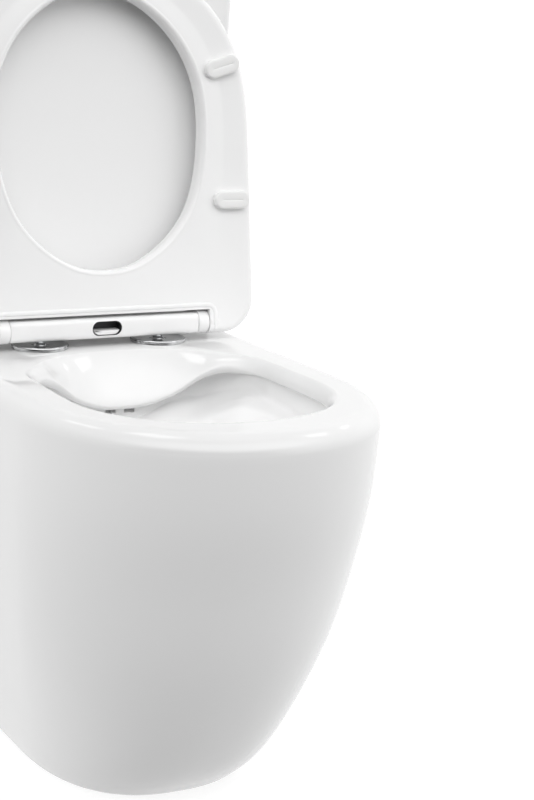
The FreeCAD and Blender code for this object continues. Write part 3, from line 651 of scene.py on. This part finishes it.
# rounded ends of the seat beside the hinge, and the bead round the notch
extra = []
for s in (-1, 1):
    m = Mesh()
    m.add(turned_x([(4.2, 124.3), (12.4, 124.3), (13.2, 125.1), (13.4, 126), (13.4, 134), (12.9, 136.6), (11.6, 138.8), (9.5, 140.4), (6.5, 141.3), (0.0, 141.6)]),
          lambda p: on_axis((p[0], p[1], s * p[2])))
    extra.append(m.object("seat_boss", 35))
bead = [(-131, -9), (-131, 4), (-130.6, 11), (-128.6, 15.8), (-124.5, 18.4), (-119, 19.2)]
path = bead + [(x, 19.2) for x in np.linspace(-100, 100, 21)] + [(-x, h) for x, h in reversed(bead)]
pp = np.array(path, float)
dd = np.concatenate([[0], np.cumsum(np.hypot(*np.diff(pp, axis=0).T))])
qq = np.linspace(0, dd[-1], 150)
bx, bh = cubic(dd, pp[:, 0], qq), cubic(dd, pp[:, 1], qq)
tx, th_ = np.gradient(bx), np.gradient(bh)
ln = np.hypot(tx, th_)
m = Mesh()
ang = np.linspace(0, 2 * np.pi, 16, endpoint=False)
rr_ = []
for k in range(len(qq)):
    e = 1.0 if 2 < k < len(qq) - 3 else 0.6
    ux, uh = -th_[k] / ln[k], tx[k] / ln[k]
    rr_.append([raised((bx[k] + 2.6 * e * math.cos(a) * ux, -(bh[k] + 2.6 * e * math.cos(a) * uh), -12.9 + 1.15 * e * math.sin(a))) for a in ang])
ids = m.loft(rr_)
m.cap(ids[0])
m.cap(ids[-1])
extra.append(m.object("seat_bead", 60))
seat = join("seat_ring_white", [seat] + extra)
shade(seat, 35)
piece(seat, "seat", ["seat_ring"], SEAT)

# ------------------------------------------------------------------ cover
rings = []
dish = np.maximum(rho_out - 50.0, 40.0)


def inner_t(o, span):
    return 8.5 + 10.3 * smooth(14.0, 48.0, o)


for f in np.linspace(0.12, 1, 10):
    rings.append(flat(dish * f, 18.8 + 0.2 * (1 - f ** 2)))
span = rho_out - 8.0 - dish
for f in np.linspace(0, 1, 31)[1:]:
    o = (rho_out - dish) * (1 - f) + 8.0 * f
    rings.append(flat(rho_out - o, inner_t(o, span)))
for d, t in ((7.2, 8.4), (5, 8.4), (2.6, 8.4), (1.2, 8.6), (0.35, 9.2), (0, 10.4), (0, 13.5), (0.25, 16.2), (1.0, 18.6), (2.3, 20.6), (4.2, 22.2), (6.8, 23.3),
             (10, 23.9), (15, 24.1), (24, 24.3), (40, 24.6)):
    rings.append(flat(rho_out - d, t))
for f in np.linspace(1, 0.1, 9)[1:]:
    rings.append(flat((rho_out - 40) * f, 24.6 + 0.7 * (1 - f ** 2)))
cover = Mesh()
ids = cover.loft([np.array([raised(p) for p in r]) for r in rings])
cover.cap(ids[0], raised((0, -HC, 19.0)))
cover.cap(ids[-1], raised((0, -HC, 25.3)))
cover = cover.object("cover_shape", 35)
cut(cover, tool_block(-111.1, 111.1, -40, 17, -40, 60), angle=35)
extra = []
for s in (-1, 1):
    m = Mesh()
    m.add(turned_x([(4.2, 111.15), (12.2, 111.15), (12.85, 111.6), (13, 112.3), (13, 122.4), (12.8, 123.2), (12.2, 123.7), (4.2, 123.7)]),
          lambda p: on_axis((p[0], p[1], s * p[2])))
    x0, x1 = sorted((s * 111.2, s * 123.6))
    m2 = block(x0, x1, -12.4, 12.4, 3.0, 12.0, 1.0)
    m.add(m2, lambda p: raised((p[0], p[1], p[2])))
    extra.append(m.object("cover_knuckle", 35))
cover = join("seat_cover_white", [cover] + extra)
shade(cover, 35)
piece(cover, "cover", ["seat_cover"], SEAT)


# ------------------------------------------------------------------ bumpers
def capsule(cx, ch, ang, l, w, t0, t1, r, slit=0.0):
    m = Mesh()
    d = 1.0 if t1 > t0 else -1.0
    lv = [(t0, 0.0)]
    for k in range(0, 7):
        a = k / 6 * math.pi / 2
        lv.append((t1 - d * r * (1 - math.sin(a)), r * (1 - math.cos(a))))
    rings = [xyz(stadium(l - 2 * i, w - 2 * i), t) for t, i in lv]
    if slit:
        rings.append(xyz(stadium(slit + 2.0, 2.6), t1))
        rings.append(xyz(stadium(slit + 0.5, 1.1), t1 - d * 0.25))
        rings.append(xyz(stadium(slit, 0.6), t1 - d * 0.45))
    ids = m.loft(rings)
    m.cap(ids[0])
    m.cap(ids[-1])
    out = Mesh()
    c, s = math.cos(math.radians(ang)), math.sin(math.radians(ang))
    out.add(m, lambda p: raised((cx + c * p[0] - s * p[1], -ch + s * p[0] + c * p[1], p[2])))
    return out


m = Mesh()
for s in (-1, 1):
    m.add(capsule(s * 144.3, 281, -s * 17.0, 43, 20, -12.6, -20.5, 2.6, 24))
    m.add(capsule(s * 152.7, 134.5, 0, 43, 20, -12.6, -20.5, 2.6, 24))
piece(m.object("seat_bumpers_white", 45), "seat", ["seat_bumpers"], BUMPER)
m = Mesh()
for s in (-1, 1):
    m.add(capsule(s * 174.5, 90, 90, 18, 6, 8.6, 6.5, 0.8))
    m.add(capsule(s * 71, 390.5, s * 30, 18, 6, 8.6, 6.5, 0.8))
piece(m.object("cover_bumpers_white", 45), "cover", ["cover_bumpers"], BUMPER)

# ------------------------------------------------------------------ hinge
m = Mesh()
t = np.linspace(0, 2 * np.pi, 96, endpoint=False)
sec = 11.7 * np.column_stack([spow(np.cos(t), 0.5), spow(np.sin(t), 0.5)])
rings = [np.column_stack([np.full(96, -110.7), YH + 8.1 * np.cos(t), ZH + 8.1 * np.sin(t)])]
for x, f in [(-110.7, 0.915), (-110.3, 0.97), (-109.4, 1.0)] + [(x, 1.0) for x in np.linspace(-100, 100, 41)] + [(109.4, 1.0), (110.3, 0.97), (110.7, 0.915)]:
    rings.append(np.column_stack([np.full(96, x), YH + f * sec[:, 0], ZH + f * sec[:, 1]]))
rings.append(np.column_stack([np.full(96, 110.7), YH + 8.1 * np.cos(t), ZH + 8.1 * np.sin(t)]))
ids = m.loft(rings)
m.cap(ids[0])
m.cap(ids[-1])
bar = m.object("hinge_bar_white", 35)


def stadium_y(half, r, y0, y1, zc):
    m = Mesh()
    st = stadium(2 * half, 2 * r, 20)
    ids = m.loft([np.column_stack([st[:, 0], np.full(len(st), y), zc + st[:, 1]]) for y in (y0, y1)])
    m.cap(ids[0])
    m.cap(ids[1])
    return m


cut(bar, stadium_y(17.5, 7.9, YH - 20, YH + 3, ZH).object("tool", 30, 0), angle=35)
piece(bar, "base", ["hinge_bar"], SEAT)
# dark sleeve in the finger window: painted shade, a black lining that stands in for the shadow inside the recess
m = Mesh()
sets = [(17.45, 7.85, YH - 10.6), (17.45, 7.85, YH + 2.95), (16.9, 7.3, YH + 2.3), (16.9, 7.3, YH - 10.4)]
rings = []
for hw, r, y in sets:
    st = stadium(2 * hw, 2 * r, 20)
    rings.append(np.column_stack([st[:, 0], np.full(len(st), y), ZH + st[:, 1]]))
ids = [m.ring(r) for r in rings]
m.strip(ids[0], ids[1])
m.strip(ids[2], ids[3])
m.strip(ids[3], ids[0])
m.cap(ids[1])
m.cap(ids[2])
piece(m.object("window_painted_shade", 40), "base", None, DARK)
# release tab, lower half of the window
m = Mesh()
st = stadium(31.6, 14.2, 20)
low = st[st[:, 1] < -1.6]
a = np.arctan2(low[:, 1] + 4.0, low[:, 0])
low = low[np.argsort(a)]
xr = low[-1][0]
toprow = np.array([(x, -1.6) for x in np.linspace(xr, low[0][0], 18)[1:-1]])
ol = np.vstack([low, toprow])
cen = ol.mean(axis=0)
lv = [(YH + 2.2, 0.0), (YH - 8.6, 0.0), (YH - 9.5, 0.25), (YH - 10.1, 0.8), (YH - 10.4, 1.6)]
rings = []
for y, i in lv:
    q = cen + (ol - cen) * (1 - i / np.linalg.norm(ol - cen, axis=1).max() * 1.4)
    rings.append(np.column_stack([q[:, 0], np.full(len(q), y), ZH + q[:, 1]]))
ids = m.loft(rings)
m.cap(ids[0])
m.cap(ids[-1])
piece(m.object("release_tab_white", 40), "release", ["release_tab"], SEAT)
# chrome discs and posts
m, m2 = Mesh(), Mesh()
for x in (-70, 70):
    d = lathe([(4.2, 0.0), (30.6, 0.0), (31.0, 0.4), (31.0, 3.0), (30.8, 4.0), (30.3, 4.7), (29.5, 5.0), (28.6, 4.8), (27.8, 4.2), (26.8, 3.4), (25.0, 2.8),
               (20, 2.4), (12, 2.2), (8.2, 2.3), (7.2, 2.9), (6.8, 4.2), (6.2, 4.9), (4.2, 4.95)], 96, closed=True)
    m.add(d, lambda p: (p[0] + x, p[1] + POST_Y, p[2] + ZD))
    d = lathe([(4.2, ZD + 4.95), (5.2, ZD + 4.95), (5.4, ZD + 5.2), (5.4, ZH - 10.6), (4.2, ZH - 10.6)], 64, closed=True)
    m2.add(d, lambda p: (p[0] + x, p[1] + POST_Y, p[2]))
piece(m.object("hinge_discs_chrome", 40), "base", ["hinge_rosettes"], CHROME)
piece(m2.object("hinge_posts_steel", 40), "base", ["hinge_posts"], STEEL)

# ------------------------------------------------------------------ cistern
def cis_ring(z, inset, r):
    f = (z - 435.0) / 370.0
    hw, yf, yb = 176.0 + 12.5 * f, 181.0 - 3.0 * f, 330.0
    return xyz(rrect(0, (yf + yb) / 2, 2 * (hw - inset), yb - yf - 2 * inset, max(r - inset, 2.0), 12), z)


m = Mesh()
rings = []
for k in range(7):
    a = k / 6 * math.pi / 2
    rings.append(cis_ring(435 + 8 * (1 - math.cos(a)), 8 * (1 - math.sin(a)), 10))
rings += [cis_ring(z, 0, 10) for z in np.linspace(449, 802, 12)]
rings += [cis_ring(804, 0.6, 10), cis_ring(805, 2, 10), cis_ring(805, 8, 12), cis_ring(804, 9.6, 13)]
rings += [cis_ring(z, 10, 14) for z in np.linspace(799, 452, 8)] + [cis_ring(448, 12, 16), cis_ring(447, 16, 18)]
ids = m.loft(rings)
m.cap(ids[0])
m.cap(ids[-1])
piece(m.object("cistern_china", 40), "base", ["cistern"], GLAZE)


def lid_ring(z, inset, r=16.0):
    return xyz(rrect(0, 254.5, 2 * (191.0 - inset), 156.0 - 2 * inset, max(r - inset, 2.0), 12), z)


m = Mesh()
base_r = lid_ring(0, 0)
ang = np.arctan2(base_r[:, 1] - CIS_Y, base_r[:, 0])


def hole_ring(z, r):
    return np.column_stack([r * np.cos(ang), CIS_Y + r * np.sin(ang), np.full(len(ang), z)])


rings = [hole_ring(824, 23.6), lid_ring(824, 22), lid_ring(823, 22), lid_ring(796.3, 22), lid_ring(796, 21.6), lid_ring(796, 15.2), lid_ring(796.6, 14.6), lid_ring(805.2, 14.5), lid_ring(805, 1.5),
         lid_ring(805.4, 0.5), lid_ring(806.4, 0.0)]
rings += [lid_ring(z, 0) for z in (810, 816, 822)]
for k in range(1, 11):
    a = k / 10 * math.pi / 2
    rings.append(lid_ring(826 + 10 * math.sin(a), 10 * (1 - math.cos(a))))
o, h = lid_ring(836, 10), hole_ring(836, 24.6)
rings += [o + (h - o) * s for s in (0.25, 0.5, 0.75, 1.0)]
rings += [hole_ring(835.6, 23.8), hole_ring(834.6, 23.6)]
ids = m.loft(rings)
m.strip(ids[-1], ids[0])
piece(m.object("cistern_lid_china", 40), "base", ["cistern_lid"], GLAZE)

# ------------------------------------------------------------------ flush buttons
m = Mesh()
m.add(lathe([(20.6, 796), (23, 796), (23, 836.0), (28.4, 836.0), (29, 836.5), (29, 837.6), (28.5, 838.8), (27.3, 839.5), (25.4, 839.7), (22.6, 839.4), (21.2, 838.7), (20.6, 837.6)], 96, closed=True),
      lambda p: (p[0], p[1] + CIS_Y, p[2]))
piece(m.object("button_bezel_chrome", 40), "base", ["button_bezel"], CHROME)


def dbutton(x0, x1, name, body, node):
    """Part of a disc between x0 and x1, with a soft edge."""
    R = 20.2
    pts = []
    lo, hi = max(x0, -R), min(x1, R)
    if x0 <= -R:
        t = np.linspace(math.acos(hi / R), 2 * math.pi - math.acos(hi / R), 61)
        pts = [(R * math.cos(a), R * math.sin(a)) for a in t] + [(hi, y) for y in np.linspace(-math.sqrt(R * R - hi * hi), math.sqrt(R * R - hi * hi), 20)[1:-1]]
    else:
        t = np.linspace(-math.acos(lo / R), math.acos(lo / R), 45)
        pts = [(R * math.cos(a), R * math.sin(a)) for a in t] + [(lo, y) for y in np.linspace(math.sqrt(R * R - lo * lo), -math.sqrt(R * R - lo * lo), 20)[1:-1]]
    p = np.array(pts)
    c = p.mean(axis=0)
    far = np.linalg.norm(p - c, axis=1)
    m = Mesh()
    rings = []
    for z, i in ((828, 0.0), (838.6, 0.0), (839.5, 0.2), (840.1, 0.7), (840.45, 1.5), (840.5, 2.6), (840.3, 6.0), (839.9, 9.5)):
        q = c + (p - c) * (1 - np.minimum(i / far, 0.92))[:, None]
        rings.append(np.column_stack([q[:, 0], q[:, 1] + CIS_Y, np.full(len(q), z)]))
    ids = m.loft(rings)
    m.cap(ids[0])
    m.cap(ids[-1])
    piece(m.object(name, 40), body, [node], CHROME)


dbutton(-30, 3.7, "full_flush_button_chrome", "full_button", "full_flush_button")
dbutton(4.3, 30, "half_flush_button_chrome", "half_button", "half_flush_button")

# caps over the side fixing screws
m = Mesh()
for s in (-1, 1):
    m.add(lathe([(6.6, 121.0), (8.7, 121.0), (8.8, 121.3), (8.8, 126.6), (8.5, 127.2), (7.8, 127.5), (0.0, 127.6)], 48), lambda p: (s * p[2], 205.0 + p[0], 32.0 + p[1]))
piece(m.object("side_caps_white", 40), "base", ["side_screw_caps"], SEAT)

# ------------------------------------------------------------------ remaining parts keep their own shape
FINISH = {
    STEEL: ["hinge_pins", "seat_fixing_studs", "coupling_bolts", "coupling_plate_washers", "coupling_wing_nuts",
            "floor_brackets", "bracket_side_screws"],
    RUBBER: ["cistern_pads", "coupling_washer", "coupling_cone_washers", "flush_valve_washer", "flush_valve_seal",
             "fill_valve_washer", "seat_fixing_washers"],
    FITTING: ["flush_valve_base", "flush_valve_tower", "flush_valve_backnut", "flush_lift_tube", "fill_valve_body", "fill_valve_backnut",
              "fill_valve_float", "button_nut", "full_push_rod", "half_push_rod", "seat_fixing_nuts"],
    DARK: ["soft_close_dampers"],
}
for mat, names in FINISH.items():
    for nme in names:
        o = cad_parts[nme]
        o.data.materials.clear()
        o.data.materials.append(mat)

# ------------------------------------------------------------------ floor, light, camera
fl = Mesh()
i = fl.ring([(-9000, -9000, -0.2), (9000, -9000, -0.2), (9000, 9000, -0.2), (-9000, 9000, -0.2)])
fl.f.append(tuple(i))
floor = fl.object("floor", 30, 0)
fm = material("floor_white", (0.36, 0.36, 0.36), 0.8, tint=0.004, tint_scale=1.0, rvar=0.02, rscale=8.0, spec=0.05)
# a self-lit sweep
bs = next(n for n in fm.node_tree.nodes if n.type == "BSDF_PRINCIPLED")
bs.inputs["Emission Color"].default_value = (1, 1, 1, 1)
bs.inputs["Emission Strength"].default_value = 0.70
floor.data.materials.append(fm)
floor.visible_diffuse = False

scene = bpy.context.scene
scene.view_settings.view_transform = "Standard"
# white studio: dark low down in front, a broad bright field above that
world = bpy.data.worlds.new("studio")
world.use_nodes = True
nt = world.node_tree
bg = nt.nodes["Background"]
bg.inputs["Color"].default_value = (1, 1, 1, 1)
tcw = nt.nodes.new("ShaderNodeTexCoord")
sep = nt.nodes.new("ShaderNodeSeparateXYZ")
nt.links.new(tcw.outputs["Generated"], sep.inputs[0])


def ramp_node(src, f0, f1, t0, t1):
    n = nt.nodes.new("ShaderNodeMapRange")
    n.interpolation_type = "SMOOTHSTEP"
    for k, v in (("From Min", f0), ("From Max", f1), ("To Min", t0), ("To Max", t1)):
        n.inputs[k].default_value = v
    nt.links.new(src, n.inputs["Value"])
    return n.outputs["Result"]


def calc(op, a, b):
    n = nt.nodes.new("ShaderNodeMath")
    n.operation = op
    for k, v in enumerate((a, b)):
        if isinstance(v, float):
            n.inputs[k].default_value = v
        else:
            nt.links.new(v, n.inputs[k])
    return n.outputs[0]


side = calc("ADD", calc("MULTIPLY", sep.outputs["X"], -0.22), calc("MULTIPLY", sep.outputs["Y"], -0.95))
ahead = calc("ADD", calc("MULTIPLY", sep.outputs["X"], 0.08), calc("MULTIPLY", sep.outputs["Y"], 0.99))
front = ramp_node(ahead, -0.75, -0.02, 1.0, 0.0)
low = calc("MULTIPLY", front, ramp_node(sep.outputs["Z"], 0.15, 0.52, 1.02, 0.0))
low = calc("MULTIPLY", low, ramp_node(sep.outputs["Z"], -0.7, -0.05, 0.9, 1.0))
wings = calc("ADD", calc("MULTIPLY", ramp_node(sep.outputs["X"], 0.1, 0.65, 0.0, 1.25), ramp_node(sep.outputs["X"], 0.72, 0.98, 1.0, 0.15)), ramp_node(sep.outputs["X"], -0.95, -0.4, -0.15, 0.0))
wings = calc("MULTIPLY", calc("MULTIPLY", wings, ramp_node(sep.outputs["Z"], -0.5, -0.05, 0.0, 1.0)), ramp_node(sep.outputs["Z"], 0.2, 0.5, 1.0, 0.0))
wings = calc("MULTIPLY", wings, ramp_node(sep.outputs["Y"], 0.1, 0.6, 1.0, 0.0))
high = calc("MULTIPLY", ramp_node(side, 0.0, 0.6, 0.0, 1.52), calc("MULTIPLY", ramp_node(sep.outputs["Z"], 0.3, 0.55, 0.0, 1.0), ramp_node(sep.outputs["Z"], 0.8, 0.95, 1.0, 0.0)))
base = ramp_node(sep.outputs["Z"], 0.55, 0.88, 1.06, 0.54)
level = calc("MAXIMUM", calc("ADD", calc("ADD", calc("SUBTRACT", base, low), high), wings), 0.0)
nt.links.new(level, bg.inputs["Strength"])
scene.world = world


# small lamps that draw the highlights on the glaze
def lamp(name, at, d0, d1, width, level, far=2.5):
    """Strip lamp seen from a point of the rim between the directions d0 and d1."""
    at, a, b = Vector(at), Vector(d0).normalized(), Vector(d1).normalized()
    p, q = at + a * far, at + b * far
    c, x = (p + q) / 2, (q - p)
    z = (c - at).normalized()
    x = (x - z * x.dot(z)).normalized()
    y = z.cross(x)
    l = bpy.data.lights.new(name, "AREA")
    l.shape = "RECTANGLE"
    l.size, l.size_y = (q - p).length, width
    l.energy = level * math.pi * l.size * l.size_y
    o = bpy.data.objects.new(name, l)
    o.matrix_world = Matrix(((x.x, y.x, z.x, c.x), (x.y, y.y, z.y, c.y), (x.z, y.z, z.z, c.z), (0, 0, 0, 1)))
    o.visible_diffuse = False
    scene.collection.objects.link(o)


lamp("lamp_left", (-0.154, -0.222, 0.424), (-0.436, 0.542, 0.718), (-0.334, 0.541, 0.772), 0.75, 2.4)
lamp("lamp_top", (-0.109, -0.283, 0.424), (-0.355, 0.179, 0.918), (-0.08, 0.225, 0.965), 0.80, 2.4)
lamp("lamp_right", (0.03, -0.322, 0.424), (0.59, -0.075, 0.804), (0.723, 0.02, 0.69), 0.60, 2.4)
lamp("lamp_back", (0.07, -0.309, 0.425), (0.74, 0.28, 0.60), (0.785, 0.31, 0.54), 0.40, 2.4)

cam = bpy.data.cameras.new("camera")
cam.sensor_width, cam.sensor_fit, cam.lens = 36.0, "AUTO", 1835.82 * 36.0 / 800.0
cam.clip_start, cam.clip_end = 0.05, 60.0
r, u, f = Vector((0.88026614, -0.47274823, 0.04050465)), Vector((0.06935361, 0.21264617, 0.97466491)), Vector((0.46938427, 0.85515538, -0.21997202))
co = bpy.data.objects.new("camera", cam)
co.matrix_world = Matrix(((r.x, u.x, -f.x, -0.78906), (r.y, u.y, -f.y, -1.72124), (r.z, u.z, -f.z, 0.82003), (0, 0, 0, 1)))
scene.collection.objects.link(co)
scene.camera = co
